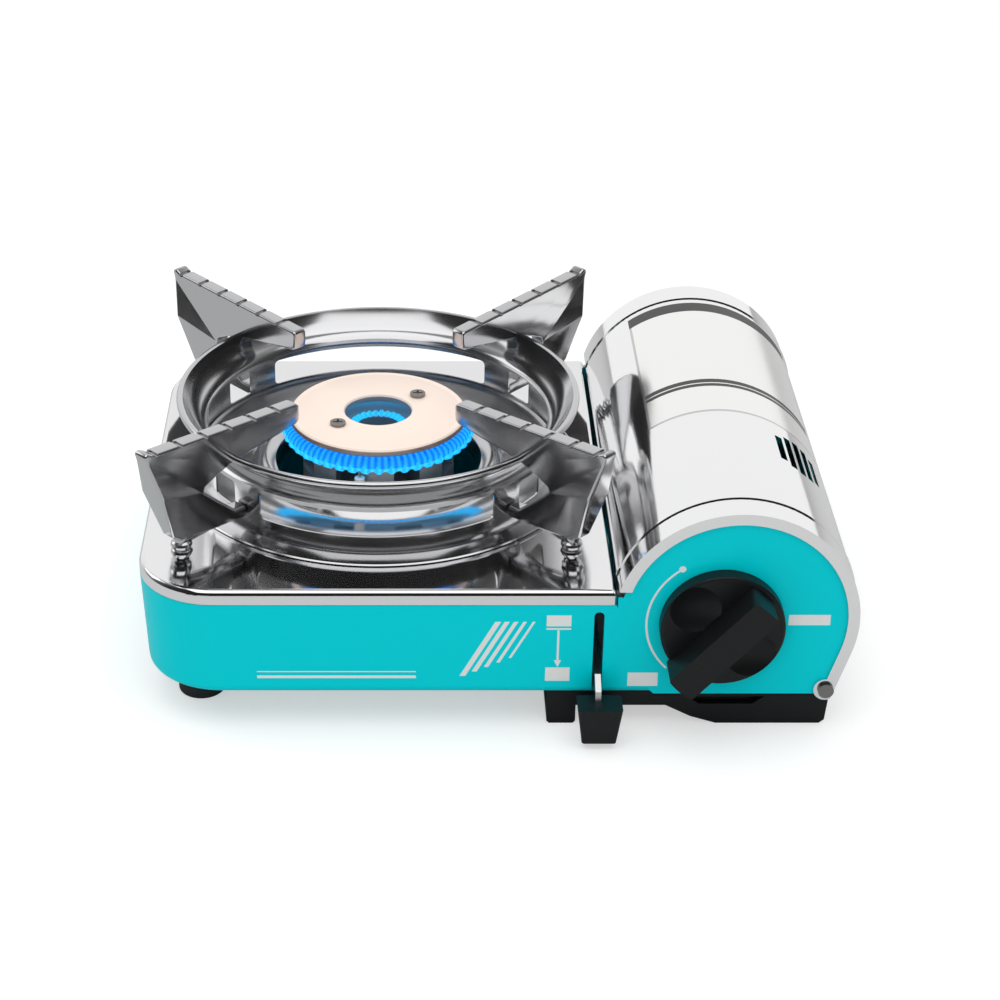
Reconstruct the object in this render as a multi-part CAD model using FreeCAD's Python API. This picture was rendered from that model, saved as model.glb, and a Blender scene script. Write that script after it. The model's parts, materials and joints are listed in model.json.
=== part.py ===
import FreeCAD, Part
import math
import os

V = FreeCAD.Vector

# A one-burner cassette stove in millimetres: +X is the cartridge side, -Y the front, +Z up.
# Places are first taken from the middle of the case and moved to the stove's own middle at the end.

# Case and top plate
case_left = -135.5
body_depth = 200.4
case_bottom = 15.6
case_t = 0.8
case_draft = 2.0
case_corner_r = 30.0
case_edge_r = 3.0
case_right_r = 1.0
floor_lap = 20.0
plate_top = 60.4
plate_t = 0.6
plate_under = 1.3
plate_lip = 5.7
plate_edge_r = 2.4
plate_hole_r = 62.0
plate_right_r = 1.5
well_depth = 4.0
lip_gap = 0.3
sheet_gap = 0.3
notch_top = 57.7
vent_slots = 6
vent_slot_l = 36.0
vent_slot_w = 4.0
vent_pitch = 11.0
partition_gap = 1.0
partition_drop = 1.5
partition_foot = 4.0
partition_foot_inset = 20.0
crank_room = 10.0
crank_room_z = 6.0

# Cartridge bay: round end panels and the hinged cover over them
bay_x = 89.5
bay_z = 47.7
cover_r = 46.0
cover_t = 0.6
cover_flange = 4.4
cover_tail = 4.6
cover_left_z = 60.7
cover_low_z = 20.2
flank_deg = 17.0
hinge_inset = 3.391
hinge_z = 17.9
ear_r = 4.6
hinge_pin_r = 1.6
pin_gap = 0.05
hinge_pin_over = 0.4
hinge_head_r = 3.0
hinge_head_h = 1.3
hinge_head_room = 0.9
hinge_head_gap = 0.1
hinge_hub_r = 2.4
hinge_leaf_t = 2.0
hinge_leaf_back = 14.0
hinge_leaf_rise = 5.0
hinge_leaf_nose = 3.0
cover_band_h = 5.0
bead_stop = 6.0
bead_h = 0.45
bead_w = 1.2
bead_inset = 13.0
side_wall_h = 6.0
side_wall_in = 0.5
window_r = 13.0
window_deg = 50.0
window_y = -37.5
louvre_pitch = 4.4
louvre_bar = 1.3

# Butane cartridge that the bay takes
can_r = 33.5
can_z = 53.0
can_len = 172.0
neck_r = 16.0
neck_len = 12.0
can_gap = 0.7

# Burner
burner_x = -44.9
cap_top = 85.9
cap_over = 1.6
cap_t = 3.2
cap_hole_r = 13.3
cap_edge_r = 1.5
port_ring_over = 3.7
port_ring_h = 6.5
port_count = 44
port_w = 1.6
port_depth = 2.2
base_r = 30.5
base_bottom = 29.0
base_wall = 3.0
window_count = 8
window_w = 11.0
window_h = 9.0
cap_screw_x = 15.9
cap_screw_y = 13.0
cap_screw_r = 3.1
cap_screw_h = 1.0
cap_screw_slot_w = 0.8
cap_screw_slot_l = 4.0
cap_screw_slot_d = 0.6
port_top = 0.6
port_h = 2.0
window_drop = 3.0

# Bowl with the pan supports: one lift-off unit
rim_r = 80.5
rim_z = 95.2
bead_r = 1.5
bowl_t = 0.7
bowl_bend = 0.8
pan_bend = 1.0
waist_r = 68.6
waist_z = 85.3
wall_r = 73.8
flange_r = 82.2
slot_low = 68.6
slot_high = 79.4
long_slot_deg = 37.0
small_slot_from = 31.0
small_slot_to = 42.0
pan_floor_r = 72.6
pan_floor_z = 66.0
valley_w = 6.5
pan_valley_z = 62.4
collar_w = 5.3
collar_z = 66.4
pan_room = 1.6
waist_in = 4.5
waist_rise = 2.2
waist_turn = 1.5
waist_drop = 2.6
neck_drop = 4.6
skirt_h = 3.2
skirt_in = 2.5
pan_turn = 2.4
pan_turn_h = 1.6
collar_round = 3.2
collar_fall = 1.2
collar_in = 1.6
collar_low = 8.0

# Pan support arms, folded from sheet: reach from the burner's middle and height above the table
arm_w = 6.5
arm_sheet = 1.0
arm_tip_r = 122.5
arm_tip_z = 111.5
arm_inner_r = 45.5
arm_top_in_z = 105.8
arm_low_in_z = 97.3
arm_foot_r = 104.5
arm_knee_in = 5.1
arm_knee_h = 31.1
arm_flare = 3.1
arm_heel_out = 6.3
arm_heel_h = 11.6
arm_tie_h = 7.0
arm_tie_w = 4.8
arm_hem_r = 1.9
arm_elbow_r = 95.7
arm_elbow_z = 86.3
foot_r = 3.0
foot_ring_r = 4.3
foot_ring_h = 2.4
arm_notches = 6
notch_pitch = 12.1
notch_w = 2.2
notch_d = 1.1
arm_seat_drop = 2.8
arm_seat_in = 63.4
foot_stem_gap = 2.0
foot_ring_from = 1.6
foot_ring_gap = 0.8

# Knob and its spindle
knob_x = 84.0
knob_z = 47.0
knob_r = 23.3
knob_disc = 6.0
knob_height = 18.5
knob_gap = 0.4
grip_deg = 228.0
grip_w = 12.0
scoop_r = 16.0
scoop_out = 14.5
scoop_depth = 3.2
spindle_r = 3.0
spindle_gap = 0.5
spindle_seat = 2.3
spindle_grip = 4.5
spindle_end_gap = 0.3
knob_edge_r = 1.2
grip_edge_r = 2.0
grip_over = 1.5

# Lock lever
lever_x = 38.4
lever_t = 2.2
slot_w = 3.8
lever_slot_low = 16.4
lever_slot_high = 51.6
lever_h = 9.0
lever_lift = 0.9
lever_shoulder = 3.0
pivot_y = -50.0
pivot_z = 22.2
lever_turn = 27.7
tip_top_z = 18.4
tip_low_z = 3.0
tip_front_y = -117.0
tip_back_y = -105.6
tip_top_w = 17.0
tip_low_w = 13.0
crank_r = 12.5
crank_pin_r = 1.5
crank_gap = 0.1
pivot_pin_r = 2.0
cross_over = 3.2
tip_shift = 0.5
tip_edge_r = 1.2

# Carriage that the cartridge rests on, and the link that the lever's pin moves
carriage_front = -72.0
carriage_over = 0.4
carriage_t = 1.0
carriage_deg = 22.0
runner_x = 9.0
runner_w = 4.0
runner_inset = 4.0
runner_gap = 0.2
link_t = 1.4
link_half_w = 6.0
link_gap = 0.3
strap_t = 1.0
strap_end = 11.0

# Gas valve in the front of the bay
valve_r = 22.0
valve_front = -99.1
valve_face = -84.0
regulator_r = 13.0
regulator_dx = 15.0
regulator_dz = -16.0
pipe_r = 2.0
pipe_z = 52.4
pipe_y = -89.0
bore_in_r = 5.3
bore_out_r = 6.5
bell_out_r = 9.0
bell_len = 22.0
venturi_deg = -35.0
venturi_z = 38.0
venturi_len = 62.0
jet_r = 3.4
link_x = 50.0
outlet_x = 8.0
outlet_y = 10.0
outlet_h = 10.0
seat_r = 6.0
seat_h = 3.0
seat_bore_r = 1.5
gasket_r = 4.4
gasket_h = 1.5
gasket_bore_r = 2.0
guide_over = 3.0
guide_t = 0.7
mouth_len = 8.0
jet_tip_r = 1.6
jet_bore_r = 0.5
jet_cone = 5.0
jet_len = 9.0
pipe_bend = 7.0
pipe_lead = 9.0
pipe_step = 12.0
pipe_run = 14.0
stay_t = 1.2
stay_w = 12.0
stay_foot = 7.0
stay_over = 6.0

# Ignition
igniter_w = 11.0
igniter_h = 13.0
igniter_front = -96.0
igniter_back = -66.0
lead_y = -30.0
lead_r = 1.2
electrode_deg = 259.0
electrode_out = 6.1
electrode_low = 46.0
electrode_top = 74.0
igniter_x = 4.6
igniter_edge_r = 1.5
nose_r = 3.2
nose_len = 4.0
ceramic_r = 2.0
needle_r = 0.6
needle_len = 5.0
electrode_stay_r = 3.4
electrode_stay_h = 2.5
electrode_stay_w = 5.0
electrode_stay_up = 4.0
lead_dip = 16.0
lead_in = 20.0
lead_side = 22.0
lead_bend = 7.0

# Black base blocks and rubber feet
base_front = -97.0
base_depth = 36.0
block_left = 20.1
strip_z = 8.2
strip_right = 65.3
belly_left = 75.1
belly_z = 3.1
ledge_w = 11.0
recess_left = 73.5
recess_right = 103.0
base_right = 126.0
foot_x = -113.6
foot_y = 72.0
rubber_r = 9.2
rubber_edge_r = 1.5
belly_run = 9.9
belly_back = 7.1
base_bulge = 1.4
base_bulge_z = 11.8
base_top_in = 4.0
recess_top = 3.4
recess_low = 6.8
recess_slope = 4.5
recess_depth = 3.0

# Bracket of the lever
bracket_gap = 0.4
bracket_t = 1.2
bracket_front = 4.0
bracket_back = 12.0
bracket_rise = 5.0
bracket_pin_over = 2.0

# Cutters: past every side, just past a face, and the reach for picking an edge
far = 200.0
past = 1.0
touch = 0.01

half = body_depth / 2
plate_right = bay_x - cover_r + plate_under
flank_turn = math.radians(flank_deg)
flank_top_z = bay_z - cover_r * math.sin(flank_turn)
hinge_x = bay_x + cover_r * math.cos(flank_turn) - (flank_top_z - hinge_z) * math.tan(flank_turn) - hinge_inset
side_wall_x = hinge_x - side_wall_in
port_ring_r = base_r + port_ring_over
cap_r = port_ring_r + cap_over
electrode_r = base_r + electrode_out
burner_hole_r = electrode_r + ceramic_r + pan_room
collar_r = burner_hole_r + collar_w
pan_valley_r = collar_r + valley_w
rebate = plate_t + lip_gap
panel_r = cover_r - 2.5
cover_front = -half - sheet_gap - cover_t
cover_rear = half + cover_tail
knob_back = -half - knob_gap
front_reach = min(knob_back - knob_height, tip_front_y)
shift_x = -(case_left + bay_x + cover_r) / 2
shift_y = -(front_reach + cover_rear) / 2
can_back = valve_face + can_gap + can_len
lead_z = case_bottom + case_t + igniter_h / 2
parts = {}


def box(x0, x1, y0, y1, z0, z1):
    return Part.makeBox(x1 - x0, y1 - y0, z1 - z0, V(x0, y0, z0))


def rod_x(y, z, r, x0, x1):
    return Part.makeCylinder(r, x1 - x0, V(x0, y, z), V(1, 0, 0))


def rod_y(x, z, r, y0, y1):
    return Part.makeCylinder(r, y1 - y0, V(x, y0, z), V(0, 1, 0))


def rod_z(x, y, r, z0, z1):
    return Part.makeCylinder(r, z1 - z0, V(x, y, z0), V(0, 0, 1))


def prism(points, direction):
    wire = Part.makePolygon(points + [points[0]])
    return Part.Face(wire).extrude(direction)


def prism_y(points, y0, y1):
    return prism([V(x, y0, z) for x, z in points], V(0, y1 - y0, 0))


def prism_x(points, x0, x1):
    return prism([V(x0, y, z) for y, z in points], V(x1 - x0, 0, 0))


def fuse(solids):
    return solids[0].multiFuse(solids[1:]).removeSplitter()


def sheet_outline(points, t, bend):
    """Outline of a bent sheet: a centre line with rounded bends, thickened to both sides."""
    edges = []
    ends = []
    for side in (1, -1):
        start = None
        for i in range(len(points)):
            here = points[i]
            if 0 < i < len(points) - 1:
                a = (here - points[i - 1]).normalize()
                b = (points[i + 1] - here).normalize()
                turn = math.atan2(a.x * b.y - a.y * b.x, a.dot(b))
                sign = 1 if turn > 0 else -1
                trim = bend * math.tan(abs(turn) / 2)
                centre = here - a * trim + V(-a.y, a.x, 0) * bend * sign
                reach = bend - side * sign * t / 2
                mid = (b - a).normalize()
                arc = [centre + V(a.y, -a.x, 0) * reach * sign, centre - mid * reach,
                       centre + V(b.y, -b.x, 0) * reach * sign]
                edges.append(Part.LineSegment(start, arc[0]).toShape())
                edges.append(Part.Arc(arc[0], arc[1], arc[2]).toShape())
                start = arc[2]
                continue
            a = (points[1] - points[0]) if i == 0 else (points[-1] - points[-2])
            end = here + V(-a.y, a.x, 0).normalize() * side * t / 2
            ends.append(end)
            if i:
                edges.append(Part.LineSegment(start, end).toShape())
            start = end
    edges.append(Part.LineSegment(ends[0], ends[2]).toShape())
    edges.append(Part.LineSegment(ends[1], ends[3]).toShape())
    return Part.Wire(Part.sortEdges(edges)[0])


def spun_sheet(points, t, bend, x, y):
    """A spun sheet pressing about a vertical axis; points are radius and height."""
    wire = sheet_outline([V(r, z, 0) for r, z in points], t, bend)
    wire.rotate(V(0, 0, 0), V(1, 0, 0), 90)
    wire.translate(V(x, y, 0))
    return Part.Face(wire).revolve(V(x, y, 0), V(0, 0, 1), 360)


def tube(points, r, bend):
    """A round rod or wire along straight runs joined by tangent arcs."""
    edges = []
    start = points[0]
    for i in range(1, len(points) - 1):
        a = (points[i] - points[i - 1]).normalize()
        b = (points[i + 1] - points[i]).normalize()
        turn = a.getAngle(b)
        trim = bend * math.tan(turn / 2)
        first = points[i] - a * trim
        last = points[i] + b * trim
        middle = points[i] + (b - a).normalize() * (bend / math.cos(turn / 2) - bend)
        edges.append(Part.LineSegment(start, first).toShape())
        edges.append(Part.Arc(first, middle, last).toShape())
        start = last
    edges.append(Part.LineSegment(start, points[-1]).toShape())
    path = Part.Wire(edges)
    ring = Part.Wire(Part.Circle(points[0], points[1] - points[0], r).toShape())
    return path.makePipeShell([ring], True, False)


def plan(left, right, inset, left_r, right_r, z):
    """Plan outline of the case: left corners round, right corners nearly square."""
    y = half - inset
    x0 = left + inset
    x1 = right
    c = math.sqrt(0.5)
    edges = []
    corners = [(x0, -y, left_r, 1, 1), (x0, y, left_r, 1, -1),
               (x1, y, right_r, -1, -1), (x1, -y, right_r, -1, 1)]
    previous = None
    first = None
    for i, (x, yy, r, sx, sy) in enumerate(corners):
        centre = V(x + sx * r, yy + sy * r, z)
        along_x = V(x + sx * r, yy, z)
        along_y = V(x, yy + sy * r, z)
        middle = centre - V(sx, sy, 0) * r * c
        a, b = (along_x, along_y) if i in (0, 2) else (along_y, along_x)
        edges.append(Part.Arc(a, middle, b).toShape())
        if previous:
            edges.append(Part.LineSegment(previous, a).toShape())
        first = first or a
        previous = b
    edges.append(Part.LineSegment(previous, first).toShape())
    return Part.Wire(Part.sortEdges(edges)[0])


def bay_solid(r, y0, y1, low):
    """The bay's round profile of radius r with its straight right flank, down to a height."""
    a = flank_turn
    tx = bay_x + r * math.cos(a)
    tz = bay_z - r * math.sin(a)
    fx = tx - (tz - low) * math.tan(a)
    flank = prism_y([(bay_x, bay_z), (tx, tz), (fx, low), (bay_x, low)], y0, y1)
    return fuse([rod_y(bay_x, bay_z, r, y0, y1), flank])


def both_ends(shape):
    return fuse([shape, shape.mirror(V(0, 0, 0), V(0, 1, 0))])


def build_case():
    low = case_bottom
    step = plate_top - plate_lip - lip_gap
    top = plate_top - plate_edge_r

    def tub(inset, z0, z1):
        round_r = case_corner_r - inset
        lower = plan(case_left + case_draft, bay_x, inset, round_r, case_right_r, z0)
        upper = plan(case_left, bay_x, inset, round_r, case_right_r, z1)
        solid = Part.makeLoft([lower, upper], True, True)
        rim = [e for e in solid.Edges if abs(e.BoundBox.ZMax - z0) < touch]
        edges = [e for e in rim if e.BoundBox.XMin < bay_x - case_right_r - touch]
        return solid.makeFillet(case_edge_r - inset, edges)

    outer = tub(0, low, step)
    inner = tub(case_t, low + case_t, step - case_t)
    neck_round = case_corner_r - rebate
    neck_out = plan(case_left, plate_right - rebate, rebate, neck_round, case_right_r, step - case_t)
    neck_in = plan(case_left, plate_right + case_t, rebate + case_t, neck_round - case_t, case_right_r, step - case_t)
    neck = Part.Face(neck_out).extrude(V(0, 0, top - step + case_t))
    neck_hole = Part.Face(neck_in).extrude(V(0, 0, top - step + 2 * case_t))
    bay_open = box(plate_right - rebate, far, -half + case_t, half - case_t, low + case_t, far)
    shell = fuse([outer, neck]).cut(fuse([inner, neck_hole]))
    above = box(plate_right, bay_x + past, -far, far, step - case_t, top + past)
    shell = shell.cut(above)
    corner = box(plate_right + sheet_gap, bay_x, -half, -half + case_t, low + case_edge_r, notch_top)
    y_in = -half + case_t
    outside = fuse([box(0, plate_right + sheet_gap, -far, far, 0, far), box(0, far, -far, far, -far, low)])
    panel = fuse([bay_solid(panel_r, -half, y_in, low), corner]).cut(outside)
    floor = box(bay_x - floor_lap, side_wall_x, -half, half, low, low + case_t)
    wall_y = -y_in - hinge_leaf_t - 2 * sheet_gap
    side = box(side_wall_x - case_t, side_wall_x, -wall_y, wall_y, low, low + side_wall_h)
    case = fuse([shell.cut(bay_open), both_ends(panel), floor, side])
    hinge_clear = rod_y(hinge_x, hinge_z, hinge_head_r + hinge_head_room, -far, far)
    case = case.cut(hinge_clear.cut(box(0, side_wall_x, y_in, -y_in, 0, far)))
    hub_room = rod_y(hinge_x, hinge_z, hinge_hub_r + sheet_gap, wall_y, half - case_t)
    case = case.cut(fuse([hub_room, hub_room.mirror(V(0, 0, 0), V(0, 1, 0))]))
    slot_r = slot_w / 2
    slot_from = lever_slot_low + slot_r
    slot_to = lever_slot_high - slot_r
    front = -half - past
    behind = -half + case_t + past
    slot = fuse([box(lever_x - slot_r, lever_x + slot_r, front, behind, slot_from, slot_to),
                 rod_y(lever_x, slot_from, slot_r, front, behind),
                 rod_y(lever_x, slot_to, slot_r, front, behind)])
    case = case.cut(slot)
    case = case.cut(rod_y(knob_x, knob_z, spindle_r + spindle_gap, front, behind))
    vents = []
    for i in range(vent_slots):
        y = (i - (vent_slots - 1) / 2) * vent_pitch
        vents.append(box(burner_x - vent_slot_l / 2, burner_x + vent_slot_l / 2,
                         y - vent_slot_w / 2, y + vent_slot_w / 2, 0, low + case_t + past))
    return case.cut(fuse(vents))


def build_plate():
    low = plate_top - plate_lip
    outer = Part.Face(plan(case_left, plate_right, 0, case_corner_r, plate_right_r, low))
    outer = outer.extrude(V(0, 0, plate_lip))
    edges = [e for e in outer.Edges if abs(e.BoundBox.ZMin - plate_top) < touch]
    outer = outer.makeFillet(plate_edge_r, edges)
    inner = Part.Face(plan(case_left, plate_right - plate_t, plate_t, case_corner_r - plate_t,
                           plate_right_r - plate_t, low - past))
    inner = inner.extrude(V(0, 0, plate_lip + past - plate_t))
    edges = [e for e in inner.Edges if abs(e.BoundBox.ZMin - plate_top + plate_t) < touch]
    inner = inner.makeFillet(plate_edge_r - plate_t, edges)
    plate = outer.cut(inner)
    well = rod_z(burner_x, 0, plate_hole_r + plate_t, plate_top - well_depth, plate_top - plate_t / 2)
    hole = rod_z(burner_x, 0, plate_hole_r, plate_top - well_depth - past, plate_top + past)
    return fuse([plate, well]).cut(hole)


def build_partition():
    x = plate_right + sheet_gap + partition_gap
    z0 = case_bottom + case_t
    z1 = notch_top - partition_drop
    y = half - case_t - sheet_gap
    sheet = box(x, x + case_t, -y, y, z0, z1)
    reach_y = y - partition_foot_inset
    foot = box(x - partition_foot, x, -reach_y, reach_y, z0, z0 + case_t)
    left = x - past
    right = x + case_t + past
    crank = box(left, right, pivot_y - crank_room, pivot_y + crank_room,
                pivot_z + crank_room_z, pivot_z + crank_r + crank_room_z)
    pipe_room = pipe_r + 1
    pipe = box(left, right, pipe_y - pipe_room, pipe_y + pipe_room, pipe_z - pipe_room, z1 + past)
    lead = rod_x(lead_y, lead_z, lead_r + 1, left, right)
    return fuse([sheet, foot]).cut(fuse([crank, pipe, lead]))


def cover_slots():
    cuts = []
    rows = int(window_r / louvre_pitch)
    for i in range(-rows, rows + 1):
        along = i * louvre_pitch
        reach = math.sqrt(window_r ** 2 - along ** 2)
        w = (louvre_pitch - louvre_bar) / 2
        if reach < w + 1:
            continue
        slot = box(-w, w, window_y - reach, window_y + reach, cover_r - cover_flange, cover_r + past)
        slot.rotate(V(0, 0, 0), V(0, 1, 0), 90 - window_deg + math.degrees(along / cover_r))
        slot.translate(V(bay_x, 0, bay_z))
        cuts.append(slot)
    return fuse(cuts)


def build_cover():
    low = cover_low_z
    shell = bay_solid(cover_r, cover_front, cover_rear, low)
    shell = shell.cut(bay_solid(cover_r - cover_t, cover_front - 1, cover_rear + 1, low - 2))
    rims = []
    for y in (cover_front, cover_rear - cover_t):
        ring = bay_solid(cover_r, y, y + cover_t, low)
        ring = ring.cut(bay_solid(cover_r - cover_flange, y - 1, y + 1 + cover_t, low - 2))
        rims.append(ring)
    beads = []
    for y in (cover_front + bead_inset, cover_rear - bead_inset):
        bead = bay_solid(cover_r + bead_h, y - bead_w / 2, y + bead_w / 2, low + bead_stop)
        beads.append(bead.cut(bay_solid(cover_r - cover_t / 2, y - 1, y + 1, low - 2)))
    cover = fuse([shell] + rims + beads)
    cover = cover.cut(box(-far, bay_x, -far, far, 0, cover_left_z))
    cover = cover.cut(box(bay_x - past, far, -far, far, -far, low))
    ears = []
    for y in (cover_front, cover_rear - cover_t):
        band = bay_solid(cover_r, y, y + cover_t, hinge_z)
        band = band.cut(bay_solid(cover_r - cover_flange, y - 1, y + 1 + cover_t, hinge_z - 2))
        band = band.common(box(bay_x + cover_r / 2, far, y, y + cover_t, hinge_z, low + cover_band_h))
        ear = rod_y(hinge_x, hinge_z, ear_r, y, y + cover_t)
        ear = ear.common(bay_solid(cover_r, y, y + cover_t, hinge_z - ear_r))
        ears.append(fuse([ear, band]))
    cover = fuse([cover] + ears)
    cover = cover.cut(rod_y(hinge_x, hinge_z, hinge_pin_r + pin_gap, cover_front - 1, cover_rear + 1))
    return cover.cut(cover_slots())


def build_hinge():
    screws = []
    brackets = []
    inner = half - case_t
    leaf_left = hinge_x - hinge_leaf_back
    leaf_top = hinge_z + hinge_leaf_rise
    leaf_low = case_bottom + case_t
    leaf_outline = [(leaf_left, leaf_low), (hinge_x - hinge_leaf_nose, leaf_low), (hinge_x, hinge_z),
                    (hinge_x + 1, hinge_z + 2), (hinge_x - hinge_leaf_nose, leaf_top), (leaf_left, leaf_top)]
    for side in (-1, 1):
        face = cover_front if side < 0 else cover_rear
        under = face + side * hinge_head_gap
        head = sorted((under, under + side * hinge_head_h))
        shaft = sorted((under + side * hinge_head_gap, side * (inner - hinge_leaf_t - hinge_pin_over)))
        screws.append(rod_y(hinge_x, hinge_z, hinge_head_r, head[0], head[1]))
        screws.append(rod_y(hinge_x, hinge_z, hinge_pin_r, shaft[0], shaft[1]))
        plate_y = sorted((side * inner, side * (inner - hinge_leaf_t)))
        hub = rod_y(hinge_x, hinge_z, hinge_hub_r, plate_y[0], plate_y[1])
        leaf = prism_y(leaf_outline, plate_y[0], plate_y[1])
        stand = fuse([hub, leaf])
        brackets.append(stand.cut(rod_y(hinge_x, hinge_z, hinge_pin_r, -half, half)))
    front = fuse(screws[:2])
    rear = fuse(screws[2:])
    return Part.makeCompound([front, rear]), Part.makeCompound(brackets)


def polar(r, deg, z):
    a = math.radians(deg)
    return V(burner_x + r * math.cos(a), r * math.sin(a), z)


def wedge(deg0, deg1, reach, z0, z1):
    """A sector of a disc about the burner's axis."""
    middle = (deg0 + deg1) / 2
    far = reach / math.cos(math.radians((deg1 - deg0) / 4))
    points = [polar(0, 0, z0), polar(far, deg0, z0), polar(far * 1.3, middle, z0), polar(far, deg1, z0)]
    return prism(points, V(0, 0, z1 - z0))


def build_bowl():
    t = bowl_t
    bead_x = rim_r - bead_r
    wall = wall_r - t / 2
    seat = plate_top + t / 2
    profile = [(bead_x, rim_z - bead_r), (waist_r + waist_in, waist_z + waist_rise), (waist_r, waist_z),
               (waist_r + waist_turn, waist_z - waist_drop), (wall, waist_z - neck_drop),
               (wall, plate_top + skirt_h), (wall_r + skirt_in, seat), (flange_r, seat)]
    shell = spun_sheet(profile, t, bowl_bend, burner_x, 0)
    bead = Part.makeTorus(bead_x, bead_r, V(burner_x, 0, rim_z - bead_r), V(0, 0, 1))
    bowl = fuse([shell, bead])
    cuts = []
    for middle in (90, 270):
        cuts.append((middle - long_slot_deg, middle + long_slot_deg))
    for a in (0, 180):
        cuts.append((a + small_slot_from, a + small_slot_to))
        cuts.append((a - small_slot_to, a - small_slot_from))
    for deg0, deg1 in cuts:
        bowl = bowl.cut(wedge(deg0, deg1, flange_r + 4, slot_low, slot_high))
    return bowl


def build_pan():
    t = bowl_t
    profile = [(pan_floor_r, pan_floor_z + pan_turn_h), (pan_floor_r - pan_turn, pan_floor_z),
               (pan_valley_r, pan_valley_z), (collar_r + collar_round, collar_z - collar_fall),
               (collar_r, collar_z), (burner_hole_r + collar_in, collar_z - 2 * collar_fall),
               (burner_hole_r + t / 2, collar_z - collar_low)]
    return spun_sheet(profile, t, pan_bend, burner_x, 0)


def arm_flank(tip, tab, foot, knee, y, out):
    """The lower side panel of an arm: a flat pyramid that leans out to the middle of its back edge."""
    base = [V(p[0], y, p[1]) for p in (tip, tab, foot, knee)]
    peak = V(knee[0], y + out, knee[1])
    rings = [[base[0], base[1], base[2], base[3]]]
    for i in range(4):
        rings.append([base[i], base[(i + 1) % 4], peak])
    faces = [Part.Face(Part.makePolygon(ring + [ring[0]])) for ring in rings]
    return Part.makeSolid(Part.makeShell(faces))


def build_arm():
    """One arm in the plane y = 0, pointing along +X from the burner's axis."""
    tip_r = arm_tip_r
    tip_z = arm_tip_z
    run_r = tip_r - 4.5
    run_z = tip_z - 1.5
    slope = (run_z - arm_top_in_z) / (run_r - arm_inner_r)
    seat_z = rim_z - arm_seat_drop
    knee = (tip_r - arm_knee_in, plate_top + arm_knee_h)
    heel = (arm_foot_r + arm_heel_out, plate_top + arm_heel_h)
    shin = (arm_foot_r + 3.4, plate_top + 9.0)
    tie_low = plate_top + arm_tie_h
    tie_top = tie_low + arm_tie_w
    span = arm_foot_r - wall_r
    tab = (wall_r + 5.7, tie_top)
    outline = [(arm_inner_r + 1, arm_top_in_z), (run_r, run_z), (tip_r - 1.5, tip_z), (tip_r, tip_z - 1.2),
               (tip_r - 1, tip_z - 4.5), knee, heel, shin, (arm_foot_r + 1.4, plate_top + 2.0),
               (arm_foot_r - 1.4, plate_top + 2.0), (arm_foot_r - 2.4, tie_low + 1.2),
               (wall_r + span * 0.6, tie_low + 0.5), (wall_r, tie_low - 0.4), (wall_r, tie_top), tab,
               (arm_elbow_r, arm_elbow_z), (rim_r - 0.9, seat_z), (arm_seat_in, rim_z - 0.2),
               (arm_inner_r + 1.1, arm_low_in_z), (arm_inner_r, (arm_low_in_z + arm_top_in_z) / 2 - 0.5)]
    half_w = arm_w / 2
    arm = prism_y(outline, -half_w, half_w)
    t = arm_sheet
    crease = [(tip_r - 1.6, tip_z - 5.0), (wall_r + 10.0, tie_top + 3.0),
              (arm_foot_r + 3.0, plate_top + 9.5), knee]
    for side in (1, -1):
        arm = arm.fuse(arm_flank(*crease, side * half_w, side * arm_flare))
    hollow = half_w - t
    channel = [(arm_inner_r - 2, arm_top_in_z - t), (run_r - 0.5, run_z - t), (tip_r - 1 - t, tip_z - 5),
               (knee[0] - t, knee[1]), (heel[0] - t, heel[1] + t), (arm_foot_r - 6, plate_top - 1),
               (wall_r - 4, plate_top - 1), (arm_inner_r - 2, arm_low_in_z - 7)]
    arm = arm.cut(prism_y(channel, -hollow, hollow))
    inner = [(crease[0][0] - 3.0, crease[0][1] - 6.0), (crease[1][0] + 6.0, crease[1][1] + 1.0),
             (crease[2][0] - 1.2, crease[2][1] + 3.0), (knee[0] - t, knee[1])]
    for side in (1, -1):
        arm = arm.cut(arm_flank(*inner, side * (hollow - 0.3), side * (arm_flare - 0.3)))
    for i in range(arm_notches):
        r = run_r - i * notch_pitch
        z = run_z - slope * i * notch_pitch
        cut = prism_y([(r - notch_w, z + 1), (r, z + 1), (r, z - notch_d), (r - notch_w * 0.4, z - notch_d)],
                      -arm_w, arm_w)
        arm = arm.cut(cut)
    stem = rod_z(arm_foot_r, 0, foot_r, plate_top, tie_low + foot_stem_gap)
    rings = []
    for i in range(2):
        z = plate_top + foot_ring_from + i * (foot_ring_h + foot_ring_gap)
        ring = rod_z(arm_foot_r, 0, foot_ring_r, z, z + foot_ring_h)
        edges = [e for e in ring.Edges if e.Closed and len(e.Vertexes) == 1]
        rings.append(ring.makeFillet(foot_ring_h * 0.45, edges))
    hem_from = V(arm_foot_r - 1.5, 0, tie_low)
    hem_to = V(wall_r - bowl_t / 2, 0, tie_low + 2.2)
    hem = Part.makeCylinder(arm_hem_r, (hem_to - hem_from).Length, hem_from, hem_to - hem_from)
    arm = fuse([arm, stem, hem] + rings)
    arm.translate(V(burner_x, 0, 0))
    return arm


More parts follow.
